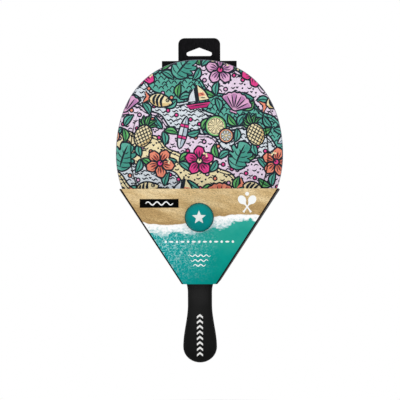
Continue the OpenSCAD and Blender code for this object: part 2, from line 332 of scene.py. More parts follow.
def pineapple(at, skin, crown):
    """A fruit with a crossed skin and a tuft of leaves."""
    for lean in (62, -62, 34, -34, 0):
        leaf(at, (0, 0.3), 90 + lean, 0.9 - 0.003 * abs(lean), 0.15, crown)
    half_w, half_h, low = 0.56, 0.74, -0.3
    outlined(at(oval(0, low, half_w, half_h, 26)), skin)
    shade_turns = np.radians(np.linspace(-110, 40, 13))
    depth = 0.95 - 0.4 * np.sin(np.linspace(0, math.pi, 13))
    ink(at([(half_w * r * math.cos(a), low + half_h * r * math.sin(a)) for r, a in
            [*((0.95, a) for a in shade_turns), *zip(depth[::-1], shade_turns[::-1])]]), SHADES[skin])
    for lean in (1.1, -1.1):
        for rise in (-0.75, -0.45, -0.15, 0.15, 0.45, 0.75):
            a, b = 1 / half_w**2 + lean**2 / half_h**2, lean * rise / half_h**2
            root = b * b - a * (rise**2 / half_h**2 - 0.9)
            if root > 0:
                ends = [(-b + sign * math.sqrt(root)) / a for sign in (-1, 1)]
                stroke(at([(x, low + rise + lean * x) for x in np.linspace(*ends, 5)]), tips=0.6)


def shell(at, color):
    """A fan shell with seven ribs."""
    foot = np.array((0, -0.72))
    ribs = np.linspace(28, 152, 8)
    wave = [0.94 + 0.06 * abs(math.sin(7 * math.pi * share)) for share in np.linspace(0, 1, 33)]
    rim = [foot + polar(1.52 * w, t) for w, t in zip(wave, np.linspace(28, 152, 33))]
    outlined(at([(-0.32, -0.95), (0.32, -0.95), (0.2, -0.62), (-0.2, -0.62)]), color)
    outlined(at(np.vstack(((0.12, -0.74), rim, (-0.12, -0.74)))), color)
    for start, end in zip(ribs[::2], ribs[1::2]):
        ink(at([foot + polar(0.3, start + 6), *(foot + polar(1.34, t) for t in np.linspace(start + 2, end - 2, 4)),
                foot + polar(0.3, end - 6)]), SHADES[color])
    for turn in ribs[1:-1]:
        stroke(at(curve(foot + polar(0.2, turn), foot + polar(1.3, turn))), LINE_W * 0.8)


def fish(at, body, fin):
    """A striped reef fish."""
    outlined(at([(-0.6, 0), (-1.15, 0.5), (-1.02, 0.05), (-1.15, -0.46)]), fin)
    outlined(at(curve((0.25, 0.4), (-0.5, 0.28), 0.35)), fin)
    outlined(at(curve((0.25, -0.4), (-0.3, -0.3), -0.35)), fin)
    spine, lift = spindle(-0.78, 1.75, 0.5, 0.8, 0.75, 14)
    outlined(at(closed(spine + lift, spine - lift)), body)
    ink(at(np.vstack(((spine - 0.3 * lift)[1:13], (spine - 0.86 * lift)[12:0:-1]))), SHADES[body])
    for x, reach in ((-0.3, 0.36), (-0.02, 0.43), (0.26, 0.42)):
        stroke(at(curve((x, reach), (x, -reach), -0.2)), LINE_W * 1.6, tips=0.5)
    outlined(at(oval(0.56, 0.12, 0.11, steps=12)), "cream", FINE_W)
    ink(at(oval(0.58, 0.12, 0.045, steps=8)), "line")
    stroke(at(curve((0.95, -0.08), (0.7, -0.14), 0.2, 4)))


def boat(at, hull, sail):
    """A little boat under two sails."""
    outlined(at(np.vstack(((-0.9, -0.36), (0.95, -0.36), curve((0.62, -0.78), (-0.62, -0.78), -0.06, 5)))), hull)
    ink(at([(-0.74, -0.56), (0.79, -0.56), (0.6, -0.73), (-0.6, -0.73)]), SHADES[hull])
    stroke(at(curve((-0.75, -0.52), (0.8, -0.52))))
    outlined(at(np.vstack((curve((0.08, 1.0), (0.85, -0.22), 0.12), (0.08, -0.22)))), sail)
    ink(at([(0.13, 0.38), (0.13, 0.12), (0.62, 0.12), (0.5, 0.38)]), "coral")
    outlined(at(np.vstack((curve((-0.72, -0.22), (-0.12, 0.78), 0.12), (-0.12, -0.22)))), "pale")
    stroke(at(curve((0.24, 0.3), (0.5, 0.22), steps=4)))
    stroke(at(curve((0.22, 0.0), (0.62, -0.05), steps=4)))
    stroke(at(curve((-0.02, -0.36), (-0.02, 1.15))), LINE_W, tips=0.9)
    for x in (-0.8, 0.1, 0.75):
        stroke(at(curve((x - 0.22, -0.98), (x + 0.22, -0.98), 0.3, 5)))


def split_leaf(at, color):
    """A broad leaf cut in between its ribs."""
    turns = np.linspace(-168, 168, 85)
    notch = sum(np.exp(-(((np.abs(turns) - cut) / 5.5) ** 2)) for cut in (34, 66, 98))
    radius = (0.86 + 0.2 * np.cos(np.radians(turns)) + 0.12 * np.cos(np.radians(2 * turns))) * (1 - 0.42 * notch)
    outlined(at([polar(r, t) for r, t in zip(radius, turns)]), color)
    ink(at([(-0.5, 0), *(polar(0.9 * r, t) for r, t in zip(radius, turns) if t < 0)]), SHADES[color])
    stroke(at(curve((-0.55, 0.0), (1.0, 0.0), 0.03)), LINE_W * 1.2)
    for turn in (18, 50, 82, 116):
        for side in (1, -1):
            stroke(at(curve((0.55 - 0.009 * turn, 0), polar(0.66, side * turn), 0.1 * side, 5)))


def board(at, color, stripe):
    """A long rider's board with a stringer and two bands."""
    spine, lift = spindle(-1.1, 2.2, 0.3, 0.9, 0.62, 18)
    outlined(at(closed(spine + lift, spine - lift)), color)
    ink(at(np.vstack((spine[1:17], (spine - 0.8 * lift)[16:0:-1]))), SHADES[color])
    for x in (-0.42, 0.36):
        outlined(at([(x, -0.27), (x + 0.2, -0.27), (x + 0.2, 0.27), (x, 0.27)]), stripe, FINE_W)
    stroke(at(curve((-0.98, 0), (1.0, 0))))


# Ground: wavy bands on a slant, each with its own small marks
BAND_TURN, BAND_PITCH, BAND_REACH = -24, 30.0, 190
BAND_COLORS = ("lilac", "pale", "teal", "lilac", "cream", "pale", "cream")
along_band, up_band = polar(1, BAND_TURN), polar(1, BAND_TURN + 90)
blade_heart = np.array((0, (blade_top + hem_level) / 2))


def band_edge(k):
    reach = np.linspace(-BAND_REACH, BAND_REACH, 120)
    height = k * BAND_PITCH + 4.2 * np.sin(reach / 13 + 1.9 * k) + 2.4 * np.sin(reach / 5.6 + k)
    return blade_heart + reach[:, None] * along_band + height[:, None] * up_band


for k in range(-7, 7):
    ink(np.vstack((band_edge(k), band_edge(k + 1)[::-1])), BAND_COLORS[k % 7])
for k in range(-7, 8):
    stroke(band_edge(k), LINE_W, tips=1)
    stroke(band_edge(k) - 3.8 * up_band, tips=1)
MARK_STEP = np.array((6.9, 5.7))
for row in range(-23, 24):
    for column in range(-17, 18):
        stray = (1.3 * math.sin(5.1 * row + 2.3 * column), 1.2 * math.sin(3.7 * column + 1.1 * row))
        spot = MARK_STEP * (column + 0.5 * (row % 2), row) + stray
        band = BAND_COLORS[math.floor(spot @ up_band / BAND_PITCH) % 7]
        spot = blade_heart + spot
        kind = (3 * row + 5 * column) % 7
        if kind == 3 and band != "teal":
            outlined(oval(*spot, 2.4, steps=12), ("magenta", "pink", "magenta", "coral")[column % 4], MARK_W)
        elif band == "teal":
            stroke(curve(spot - (3.3, 0), spot + (3.3, 0), 0.55, 7), 0.85 * MARK_W, tips=0.8)
        elif band == "pale" and kind != 6:
            reach = np.linspace(-4.2, 4.2, 9)
            stroke(spot + np.column_stack((reach, 0.9 * np.sin(reach * 1.1))), MARK_W)
        elif kind in (0, 4):
            ink(oval(*spot, 1.25, steps=8), "line")
        elif kind == 6:
            for side in (-1.8, 1.8):
                stroke(curve(spot, spot + (side, 2.5), 0.1 * side, 4), MARK_W)
        else:
            stroke(curve(spot - (2.9, 0), spot + (2.9, 0.7), 0.3 if kind == 5 else -0.27, 5), MARK_W, tips=0.4)

# Motifs: rows of unlike figures, each row half a step along from the last, with sprays of leaves behind
STEP_X, STEP_Z = 47.0, 38.0
spots = [(row, column, blade_heart + (STEP_X * (column + 0.5 * (row % 2)) + 3 * math.sin(2.7 * row + column),
                                      STEP_Z * row + 3 * math.sin(1.9 * column + row)))
         for row in range(-4, 5) for column in range(-3, 3)]
for row, column, (x, z) in spots:
    at = placer(x + 23, z + 2, 16.0, 25 * row + 70 * column)
    for turn, color in ((100, "green"), (30, "teal"), (-125, "teal")):
        leaf(at, polar(0.1, turn), turn, 1.15, 0.27, color)
for row, column, (x, z) in spots:
    kind = (2 * row + 3 * column) % 9
    tilt = 22 * math.sin(4.3 * row + 2.9 * column)
    if kind == 0:
        flower(placer(x, z, 18.5, 31 * column), "magenta", "cream")
    elif kind == 1:
        fish(placer(x, z, 17.5, tilt), "cream", "coral")
    elif kind == 2:
        citrus(placer(x - 4, z + 3, 14, tilt), "green", "cream")
        citrus(placer(x + 9, z - 9, 9.5, tilt), "coral", "pale")
    elif kind == 3:
        split_leaf(placer(x, z, 19, 60 + tilt), "teal")
    elif kind == 4:
        boat(placer(x, z, 17, tilt / 2), "magenta", "cream")
    elif kind == 5:
        pineapple(placer(x, z, 19.5, tilt), "cream", "green")
    elif kind == 6:
        flower(placer(x, z, 18.5, 31 * column), ("coral", "pink")[row % 2], "magenta")
    elif kind == 7:
        shell(placer(x, z, 15.5, tilt), ("pink", "coral")[row % 2])
    else:
        board(placer(x, z, 19, 55 + tilt), "pale", "magenta")


def inside(spots, polygon):
    """Which spots lie in a polygon that may cross itself, by its winding number."""
    x, z = spots[:, 0][:, None], spots[:, 1][:, None]
    ahead = np.roll(polygon, -1, 0)
    side = (ahead[:, 0] - polygon[:, 0]) * (z - polygon[:, 1]) - (x - polygon[:, 0]) * (ahead[:, 1] - polygon[:, 1])
    rising = (polygon[:, 1] <= z) & (ahead[:, 1] > z) & (side > 0)
    falling = (polygon[:, 1] > z) & (ahead[:, 1] <= z) & (side < 0)
    return (rising.sum(1) - falling.sum(1)) != 0


def printed_partition(border, lines, patches, ground):
    """Triangles that fill a border and keep every line and patch edge, with the ink on top of each triangle."""
    low, high = border.min(0), border.max(0)
    patches = [p for p in patches if (p[0].max(0) > low).all() and (p[0].min(0) < high).all()]
    verts, edges = [], []
    for chain, looped in [(border, True), *((line, False) for line in lines), *((p, True) for p, _ in patches)]:
        first, count = len(verts), len(chain)
        verts += [Vector(p) for p in chain]
        edges += [(first + i, first + (i + 1) % count) for i in range(count if looped else count - 1)]
    verts, _, faces, _, _, _ = delaunay_2d_cdt(verts, edges, [], 0, 1e-5, False)
    verts, faces = np.array([v[:] for v in verts]), np.array(faces)
    centres = verts[faces].mean(1)
    kept = inside(centres, border)
    faces, centres = faces[kept], centres[kept]
    top_ink = np.full(len(faces), ground, dtype=object)
    for points, color in patches:
        near = np.flatnonzero(((centres > points.min(0)) & (centres < points.max(0))).all(1))
        top_ink[near[inside(centres[near], points)]] = color
    used, faces = np.unique(faces, return_inverse=True)
    return verts[used], faces.reshape(-1, 3), top_ink


def edge_loop(inset):
    return edge_points - inset * edge_normals


# A line pressed into the padding beside each flank, which runs out towards the crown
press_inset, press_half_w, press_depth = 18.4, 1.5, 0.8
press_top, press_run_out = blade_top - 60, 30
pressed = [edge_loop(press_inset + share * press_half_w) for share in (-1, -0.5, 0, 0.5, 1)]
flank_count = int(np.argmax(edge_points[:, 1] > press_top))
pressed = [line[stretch] for line in pressed for stretch in (slice(None, flank_count), slice(-flank_count, None))]
edge_turns = np.linspace(math.asin(seam_groove / blade_half_t), math.pi / 2, 9)
edge_insets = edge_round * (1 - np.cos(edge_turns))
skin_flat, skin_faces, skin_inks = printed_partition(
    edge_loop(edge_insets[0]), [*(edge_loop(inset) for inset in edge_insets[1:]), *pressed], art, "lilac")


def lying_in(points):
    """How far points of the cloth lie inside the blade's edge, and the outward direction at that place."""
    out = np.vstack((edge_normals[1], edge_normals[1], edge_normals[1:-1], edge_normals[-2], edge_normals[-2]))
    line = np.vstack((2 * edge_points[0] - edge_points[1], edge_points, 2 * edge_points[-1] - edge_points[-2]))
    start, run = line[:-1], np.diff(line, axis=0)
    insets, outs = [], []
    for some in np.array_split(points, len(points) // 4000 + 1):
        share = np.clip(((some[:, None] - start) * run).sum(2) / (run**2).sum(1), 0, 1)
        gap = np.linalg.norm(some[:, None] - start - share[:, :, None] * run, axis=2)
        near, rows = gap.argmin(1), np.arange(len(some))
        insets.append(gap[rows, near])
        share = share[rows, near][:, None]
        outs.append(out[near] * (1 - share) + out[near + 1] * share)
    return np.concatenate(insets), np.vstack(outs)


def border_chain(faces):
    """The vertices round the open edge of a sheet, in order, from its faces."""
    sides = {(f[i - 1], f[i]) for f in faces.tolist() for i in range(len(f))}
    follow = dict(side for side in sides if side[::-1] not in sides)
    chain = [min(follow)]
    while follow[chain[-1]] != chain[0]:
        chain.append(follow[chain[-1]])
    return chain


def put(name, data):
    """An object with this data, in the scene."""
    made = bpy.data.objects.new(name, data)
    bpy.context.scene.collection.objects.link(made)
    return made


def add_piece(name, verts, faces, materials, body, nodes):
    """A mesh piece given in millimetres, fixed to its body and put in the place of its CAD nodes."""
    mesh = bpy.data.meshes.new(name)
    mesh.from_pydata((np.asarray(verts) * MM).tolist(), [], faces)
    mesh.shade_smooth()
    for material in materials:
        mesh.materials.append(material)
    piece = put(name, mesh)
    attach(piece, body)
    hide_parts(*nodes)
    return piece


def shade(mesh, normals, smooth_faces):
    """Rounds the first faces by the vertices' own normals, and leaves the others flat."""
    mesh.normals_split_custom_set([tuple(normals[v] if face.index < smooth_faces else face.normal)
                                   for face in mesh.polygons for v in face.vertices])


def paint(mesh, face_colors):
    """Puts one flat ink on each face, as a colour attribute that the material reads."""
    layer = mesh.color_attributes.new("print", "FLOAT_COLOR", "CORNER")
    colors = [c for face, color in zip(mesh.polygons, face_colors) for c in color * face.loop_total]
    layer.data.foreach_set("color", colors)


skin_insets, skin_outs = lying_in(skin_flat)
skin_lean = np.clip(1 - skin_insets / edge_round, 0, 1)
skin_rise = np.sqrt(1 - skin_lean**2)
press_place = np.clip((skin_insets - press_inset) / press_half_w, -1, 1)
press_fade = press_depth * np.clip((press_top - skin_flat[:, 1]) / press_run_out, 0, 1)
skin_press = press_fade * (1 + np.cos(math.pi * press_place)) / 2
press_slope = press_fade * math.pi / 2 / press_half_w * np.sin(math.pi * press_place)
# The open edge, from the right end of the hem round to the left end, and the hem itself
hem_slack = 0.01
rim = border_chain(skin_faces)
hem_ends = [v for v in rim if skin_flat[v][1] < hem_level + hem_slack]
left_end, right_end = (pick(hem_ends, key=lambda v: skin_flat[v][0]) for pick in (min, max))
rim = rim[rim.index(right_end):] + rim[:rim.index(right_end)]
side_rim, hem_rim = rim[:rim.index(left_end) + 1], rim[rim.index(left_end):] + rim[:1]


def cover_mesh(facing):
    """One cover: the printed skin, the groove and flange at the seam, the board's pocket and the cut hem."""
    skin_y = blade_mid + facing * (blade_half_t * skin_rise - skin_press)
    verts = [np.column_stack((skin_flat[:, 0], skin_y, skin_flat[:, 1]))]
    slide = skin_outs[side_rim]
    slide[0], slide[-1] = edge_normals[0], edge_normals[-1]
    for inset, depth in ((seam_groove, 0), (cover_reach, 0), (cover_reach, board_half_t)):
        flat = skin_flat[side_rim] - (inset - edge_insets[0]) * slide
        verts.append(np.column_stack((flat[:, 0], np.full(len(flat), blade_mid + facing * depth), flat[:, 1])))
    starts = [len(skin_flat) + i * len(side_rim) for i in range(3)]
    rings = [side_rim] + [list(range(start, start + len(side_rim))) for start in starts]
    faces = skin_faces.tolist()
    for ring, inner in zip(rings, rings[1:]):
        faces += [(ring[i + 1], ring[i], inner[i], inner[i + 1]) for i in range(len(ring) - 1)]
    faces.append(rings[3][::-1])
    faces.append(hem_rim[::-1] + [ring[-1] for ring in rings[1:]] + [ring[0] for ring in rings[:0:-1]])
    out = skin_outs * (skin_lean / edge_round + press_slope / blade_half_t)[:, None]
    normals = np.column_stack((out[:, 0], facing * skin_rise / blade_half_t, out[:, 1]))
    normals /= np.linalg.norm(normals, axis=1)[:, None]
    return np.vstack(verts), faces if facing < 0 else [f[::-1] for f in faces], normals


def dimmed(color, level):
    return Field(add_node(color.tree, "VectorMath", {0: color, "Scale": level}, operation="SCALE"))


def waves(place, scale, distortion, direction):
    wave = {"Vector": place, "Scale": scale, "Distortion": distortion}
    return Field(add_node(place.tree, "TexWave", wave, bands_direction=direction), "Fac")


printed_knit, place = start_material("printed_knit", Roughness=0.82, Specular_IOR_Level=0.12, Sheen_Weight=0.06)
inks = Field(add_node(place.tree, "Attribute", attribute_name="print"), "Color")
fibre = noise(place, 640, 3.0)
fade = noise(place, 40, 3.0)
loops = waves(place, 290.0, 0.6, "X") * waves(place, 390.0, 0.8, "Z")
dress(printed_knit, (loops + fibre, 0.35, 0.3), Base_Color=dimmed(inks, fibre * 0.8 + 0.6 + (fade * 0.14 - 0.07)))

CUT_FOAM = srgb(58, 58, 62)
# Painted shade darkens the bottom of the pressed line
painted_crease_shade = np.clip(2.0 * skin_press[skin_faces].mean(1) - 0.25, 0, 0.93)
skin_colors = [(*(c * (1 - shade_share) for c in srgb(*INKS[color])[:3]), 1.0) for color, shade_share in zip(skin_inks, painted_crease_shade)]
for side, facing in (("front_cover", -1), ("rear_cover", 1)):
    verts, faces, normals = cover_mesh(facing)
    cover = add_piece(side + "_knit", verts, faces, [printed_knit], "paddle", [side])
    paint(cover.data, skin_colors + [CUT_FOAM] * (len(faces) - len(skin_faces)))
    shade(cover.data, normals, len(skin_faces))

# Edge seam
# A twisted cord of dull thread in the groove where the two covers meet. It is sewn down all along, from one
# end of the hem over the crown to the other.
cord_r = 0.5
cord_gap = 0.1
cord_inset = seam_groove - (cord_r + cord_gap) / math.sin(math.radians(45))
cord_sides = 12


def ring_faces(rings, sides):
    """Quads between closed rings of vertices that follow each other."""
    return [((i + 1) * sides + k, (i + 1) * sides + (k + 1) % sides, i * sides + (k + 1) % sides, i * sides + k)
            for i in range(rings - 1) for k in range(sides)]


cord_verts = []
for point, normal in zip(edge_points, edge_normals):
    for turn in np.linspace(0, 2 * math.pi, cord_sides, endpoint=False):
        x, z = point - (cord_inset + cord_r * math.cos(turn)) * normal
        cord_verts.append((x, blade_mid + cord_r * math.sin(turn), z))
cord_faces = ring_faces(len(edge_points), cord_sides)
cord_faces += [range(cord_sides), range(len(cord_verts) - 1, len(cord_verts) - cord_sides - 1, -1)]

thread, place = start_material("twisted_thread", Roughness=0.75, Specular_IOR_Level=0.2, Sheen_Weight=0.1)
ply = waves(place, 260.0, 0.4, "DIAGONAL")
dress(thread, (ply, 0.5, 0.2), Base_Color=color_ramp(ply, (0.2, 92, 92, 108), (0.8, 140, 138, 154)))
add_piece("edge_seam_cord", cord_verts, cord_faces, [thread], "paddle", ["edge_seam"])

# Grip
# Moulded closed-cell foam, pushed over the tang and glued: a flat collar against the hem, a waist, a swell and
# a round butt, with white chevrons printed down its front.
(_, _, grip_low), (_, _, collar_level) = extent("grip")
neck_rise = 39.0
neck_r = 40.0
neck_len = 15.0
neck_half_w, butt_half_w = 15.25, 21.25
butt_h = 20.0
collar_half_t, neck_half_t, butt_half_t = 7.0, 8.5, 9.5
collar_round = 1.0
collar_power, neck_power = 5.0, 2.5
tang_gap = 0.1
tang_half_w, tang_half_t, tang_len = 10.0 + tang_gap, board_half_t + tang_gap, 84.0 + tang_gap
neck_level = hem_level - neck_rise
swell_level = neck_level - neck_len
butt_level = grip_low + butt_h
grip_sides = 96
neck_rings, handle_rings = 36, 42


def ease(share):
    share = min(1.0, max(0.0, share))
    return share * share * (3 - 2 * share)


def below_neck(z, neck, butt):
    """A half width or thickness below the neck: it swells, and then closes in a round butt."""
    if z > butt_level:
        return neck + (butt - neck) * ease((swell_level - z) / (swell_level - butt_level))
    return butt * math.sqrt(max(0, 1 - ((butt_level - z) / butt_h) ** 2))


def grip_half_w(z):
    above, arc_top = z - neck_level, neck_r * math.sin(taper)
    if above > arc_top:
        return neck_half_w + neck_r * (1 - math.cos(taper)) + (above - arc_top) * math.tan(taper)
    if above > 0:
        return neck_half_w + neck_r - math.sqrt(neck_r**2 - above**2)
    return below_neck(z, neck_half_w, butt_half_w)


def grip_half_t(z):
    if z > neck_level:
        return collar_half_t + (neck_half_t - collar_half_t) * ease((hem_level - z) / neck_rise)
    return below_neck(z, neck_half_t, butt_half_t)


def rounded(turn, half_w, half_t, power):
    """A point of an oval whose squareness is its power: 2 is an ellipse."""
    c, s = math.cos(turn), math.sin(turn)
    return (math.copysign(half_w * abs(c) ** (2 / power), c), math.copysign(half_t * abs(s) ** (2 / power), s))


turns = np.linspace(0, 2 * math.pi, grip_sides, endpoint=False)
levels = [(collar_level - collar_round * (1 - math.cos(a)), collar_round * (1 - math.sin(a)))
          for a in np.radians((0, 22, 45, 68, 90))]
levels += [(z, 0) for z in np.linspace(collar_level - collar_round, neck_level, neck_rings)[1:]]
levels += [(z, 0) for z in np.linspace(neck_level, butt_level, handle_rings)[1:]]
butt_turns = np.radians((6, 12, 18, 24, 30, 37, 44, 51, 58, 65, 72, 79, 85))
levels += [(butt_level - butt_h * math.sin(a), 0) for a in butt_turns]
# The socket for the tang is a box, whose corners take the nearest vertices of its ring
socket = [min(tang_half_w / max(abs(math.cos(a)), 1e-9), tang_half_t / max(abs(math.sin(a)), 1e-9)) for a in turns]
socket = [(r * math.cos(a), r * math.sin(a)) for r, a in zip(socket, turns)]
for x in (tang_half_w, -tang_half_w):
    for y in (tang_half_t, -tang_half_t):
        socket[round(math.atan2(y, x) / (2 * math.pi) * grip_sides) % grip_sides] = (x, y)
grip_verts = [(x, blade_mid + y, z) for z in (hem_level - tang_len, collar_level) for x, y in socket]
for z, inset in levels:
    power = collar_power + (neck_power - collar_power) * ease((hem_level - z) / neck_rise)
    ring = [rounded(a, grip_half_w(z) - inset, grip_half_t(z) - inset, power) for a in turns]
    grip_verts += [(x, blade_mid + y, z) for x, y in ring]
tip = len(grip_verts)
grip_faces = ring_faces(len(levels) + 2, grip_sides)
grip_faces += [(tip, tip - grip_sides + (k + 1) % grip_sides, tip - grip_sides + k) for k in range(grip_sides)]
grip_faces.append(range(grip_sides))
grip_verts.append((0, blade_mid, grip_low))


def start_group(name, inputs, outputs):
    """A shader node group with these named sockets, and the fields that it is given."""
    group = bpy.data.node_groups.new(name, "ShaderNodeTree")
    for in_out, sockets in (("INPUT", inputs), ("OUTPUT", outputs)):
        for socket, kind in sockets.items():
            group.interface.new_socket(name=socket, in_out=in_out, socket_type="NodeSocket" + kind)
    entry = group.nodes.new("NodeGroupInput")
    return group, [Field(entry, socket) for socket in inputs]


def end_group(group, **fields):
    """Feeds a node group's outputs."""
    made = group.nodes.new("NodeGroupOutput").inputs
    for socket, field in fields.items():
        group.links.new(field.socket, made[socket])


def axes(place):
    split = add_node(place.tree, "SeparateXYZ", {0: place})
    return [Field(split, axis) for axis in "XYZ"]


def blend_colors(factor, under, over, kind="MIX"):
    inputs = {0: factor, 6: under, 7: over}
    return Field(add_node(under.tree, "Mix", inputs, data_type="RGBA", blend_type=kind), 2)


# Moulded rubber: fine cells, and a dusty bloom that dulls it in patches
rubber_skin, (place, cell_scale, bloom_scale) = start_group(
    "rubber_skin", {"Vector": "Vector", "Cell Scale": "Float", "Bloom Scale": "Float"},
    {"Cells": "Float", "Dust": "Color", "Roughness": "Float"})
bloom = noise(place, bloom_scale, 4.0)
end_group(rubber_skin, Cells=noise(place, cell_scale), Roughness=bloom * 0.2 + 0.45,
          Dust=color_ramp(bloom, (0.3, 228, 228, 228), (0.7, 255, 255, 255)))


def moulded(place, cell_scale, bloom_scale):
    scales = {"Vector": place, "Cell Scale": cell_scale, "Bloom Scale": bloom_scale}
    skin = add_node(place.tree, "Group", scales, node_tree=rubber_skin)
    return [Field(skin, output) for output in ("Cells", "Dust", "Roughness")]


foam, place = start_material("grip_foam", Specular_IOR_Level=0.07)
x, y, z = axes(place)
cells, dust, dullness = moulded(place, 820.0, 60.0)
skin = color_ramp(cells, (0.0, 2, 2, 2), (1.0, 22, 22, 22))
# Painted highlight: the waist and the neck are paler along the middle of each face, as if lit from the front, and the
# neck palest just under the sleeve, to lift the shade that the sleeve casts there
highlight_x, highlight_half_w = -1.0 * MM, 14.0 * MM
off_middle = (x - highlight_x) / highlight_half_w
middle = (1.0 - off_middle * off_middle).held()
for highlight_from, highlight_to, share, grey in ((-386, -314, 0.8, 32), (-326, -298, 0.85, 49)):
    painted_highlight = ((z - highlight_from * MM) / ((highlight_to - highlight_from) * MM)).held()
    skin = blend_colors(painted_highlight * middle * share, skin, srgb(grey, grey, grey))
skin = blend_colors(1.0, skin, dust, "MULTIPLY")
# A column of white chevrons on the front
chevron_half_w, chevron_lean, chevron_pitch, chevron_share = 3.8 * MM, 0.8, 6.8 * MM, 0.4
chevron_low, chevrons = -386.0 * MM, 8
climb = (z + abs(x) * chevron_lean - chevron_low) / chevron_pitch
mark = climb.step("FRACT").step("LESS_THAN", chevron_share) * abs(x).step("LESS_THAN", chevron_half_w)
mark = mark * climb.step("GREATER_THAN", 0.0) * climb.step("LESS_THAN", chevrons) * y.step("LESS_THAN", blade_mid * MM)
dress(foam, (cells, 0.2, 0.2), Base_Color=blend_colors(mark, skin, srgb(232, 232, 230)), Roughness=dullness)
add_piece("grip_foam", grip_verts, grip_faces, [foam], "paddle", ["grip"])

# Ball
# A hollow ball of teal rubber, moulded in two halves and bonded round its middle, where a low bead is left.
# A white star is printed on its front. The sleeve's round hole holds it.
ball_low, ball_high = extent("ball_front_half")
ball_r = (ball_high[0] - ball_low[0]) / 2
ball_level = (ball_low[2] + ball_high[2]) / 2
ball_centre = np.array((0, ball_high[1], ball_level))
ball_steps = 96
star_r, star_waist = 9.3, 0.42
bead_h, bead_half_w = 0.12, 0.5
ring_pitch, last_gap = 1.5, 1.2
BALL_INKS = {"rubber": srgb(0, 141, 140), "white": srgb(240, 244, 243)}


def ring_at(reach):
    return oval(0, 0, reach, steps=ball_steps)


def joined(points):
    """A closed line that ends where it starts."""
    return np.vstack((points, points[:1]))


star = [polar(star_waist * star_r if k % 2 else star_r, 90 + 36 * k) for k in range(10)]
star = np.vstack([curve(a, b, steps=5)[:-1] for a, b in zip(star, star[1:] + star[:1])])
quarter = ball_r * math.pi / 2
reaches = [*np.arange(ring_pitch, quarter - last_gap, ring_pitch), quarter - bead_half_w, quarter - bead_half_w / 2]
dome, dome_faces, dome_inks = printed_partition(
    ring_at(quarter), [joined(ring_at(r)) for r in reaches], [(star, "white")], "rubber")
reach = np.linalg.norm(dome, axis=1)
swell = ball_r + bead_h * np.clip(1 - (quarter - reach) / bead_half_w, 0, 1) ** 0.5
turn = np.arctan2(dome[:, 1], dome[:, 0])
side_x, side_z = np.sin(reach / ball_r) * np.cos(turn), np.sin(reach / ball_r) * np.sin(turn)
ball_normals = np.vstack([np.column_stack((side_x, facing * np.cos(reach / ball_r), side_z)) for facing in (-1, 1)])
ball_verts = ball_centre + ball_normals * np.tile(swell, 2)[:, None]


def weld(verts, digits):
    """Which vertices stay where some lie on each other, and the one that each becomes."""
    _, first, back = np.unique(np.round(verts, digits), axis=0, return_index=True, return_inverse=True)
    return first, back.ravel()


first, back = weld(ball_verts, 4)
ball_faces = back[np.vstack((dome_faces, dome_faces[:, ::-1] + len(dome)))].tolist()

rubber, place = start_material("ball_rubber", Specular_IOR_Level=0.06)
inks = Field(add_node(place.tree, "Attribute", attribute_name="print"), "Color")
cells, dust, dullness = moulded(place, 900.0, 90.0)
# Painted shade: the ball is darker round its middle, where its side turns away beside the edge of the card's hole
limb_shade_reach, limb_shade_share = 6.5 * MM, 0.65
painted_limb_shade = (1.3 - abs(axes(place)[1] - ball_centre[1] * MM) / limb_shade_reach).held()
skin = blend_colors(painted_limb_shade * limb_shade_share, inks, srgb(2, 64, 68))
dress(rubber, (cells, 0.15, 0.2), Base_Color=blend_colors(1.0, skin, dust, "MULTIPLY"), Roughness=dullness)
ball = add_piece("ball_rubber", ball_verts[first], ball_faces, [rubber], "ball",
                 ["ball_front_half", "ball_rear_half"])
paint(ball.data, [BALL_INKS[color] for color in dome_inks] + [BALL_INKS["rubber"]] * len(dome_faces))
shade(ball.data, ball_normals[first], len(ball_faces))

# Card sleeve
# One sheet of coated card, creased round the paddle: the printed front with a die-cut hole for the ball, two black
# sides that lean out, a black back, and a flap under the back's edge that is glued to close it.
card_t = 0.6
crease_r = 0.65
crease_steps = 4
sleeve_rows = 24
sleeve_lean = math.radians(32.9)
side_cut, flare_low = 6.0, 1.2
flap_w = 10.0
free_gap, hole_gap = 0.4, 0.3
hole_r = ball_r + hole_gap
front_low, front_high = extent("sleeve_front_panel")
back_low, back_high = extent("sleeve_back_panel")

# The right-hand creases, from their upper to their lower ends. The sides lean out less at the bottom.
down = np.array((-math.sin(sleeve_lean), 0, -math.cos(sleeve_lean)))
across = np.array((math.cos(sleeve_lean), 0, -math.sin(sleeve_lean)))
front_top = np.array((front_high[0], front_low[1], front_high[2]))
front_crease = np.array((front_top, front_top + down * (front_high[2] - front_low[2]) / math.cos(sleeve_lean)))
back_bottom = front_crease[1] + flare_low * across - side_cut * down
back_crease, flap_crease = (
    np.array(((back_high[0], y, back_high[2]), (back_bottom[0], y, back_bottom[2])))
    for y in (back_high[1], back_low[1]))


def rows_along(line):
    return np.linspace(*line, sleeve_rows + 1)


def creased(line, before, after):
    """Rows of points and normals round a crease between panels that have these normals in each row."""
    middle = before + after
    middle /= np.linalg.norm(middle, axis=1)[:, None]
    bend = np.arccos((before * after).sum(1))[:, None]
    rows = rows_along(line) - middle * crease_r / np.cos(bend / 2)
    normals = [(before * np.sin((1 - s) * bend) + after * np.sin(s * bend)) / np.sin(bend)
               for s in np.linspace(0, 1, crease_steps + 1)]
    return [(rows + n * crease_r, n) for n in normals]


front_out, back_out = (np.tile((0, y, 0), (sleeve_rows + 1, 1)) for y in (-1.0, 1.0))
side_out = np.cross(down, rows_along(back_crease - front_crease))
side_out *= np.sign(side_out[:, :1]) / np.linalg.norm(side_out, axis=1)[:, None]
mirror = np.array((-1, 1, 1))
wrap = creased(front_crease, front_out, side_out) + creased(back_crease, side_out, back_out)
turn_in = creased(front_crease, front_out, side_out) + creased(flap_crease, side_out, back_out)
turn_in = [(points * mirror, normals * mirror) for points, normals in turn_in]
